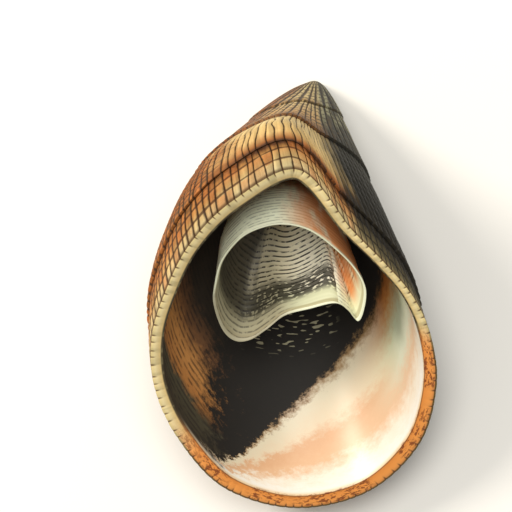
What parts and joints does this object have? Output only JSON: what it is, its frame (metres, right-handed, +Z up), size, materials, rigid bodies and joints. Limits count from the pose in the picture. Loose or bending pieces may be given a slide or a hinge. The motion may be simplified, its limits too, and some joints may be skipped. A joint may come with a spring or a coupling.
{
  "type": "cup-and-saucer shell",
  "caption": "Ribbed limpet-like sea shell lying mouth up, a leaning pointed cap with a thin wavy cup grown inside its hollow.",
  "frame": {"origin": "on the ground below the middle of the shell's bounding box", "axes": "+Z up out of the mouth, +Y from the front of the lip towards the beak, +X to the right as seen from the front"},
  "size_m": [0.035, 0.0538, 0.0285],
  "materials": {
    "shell": "satin ribbed outside, porcelain gloss inside"
  },
  "bodies": {
    "root": {"shell": "shell"}
  },
  "joints": []
}
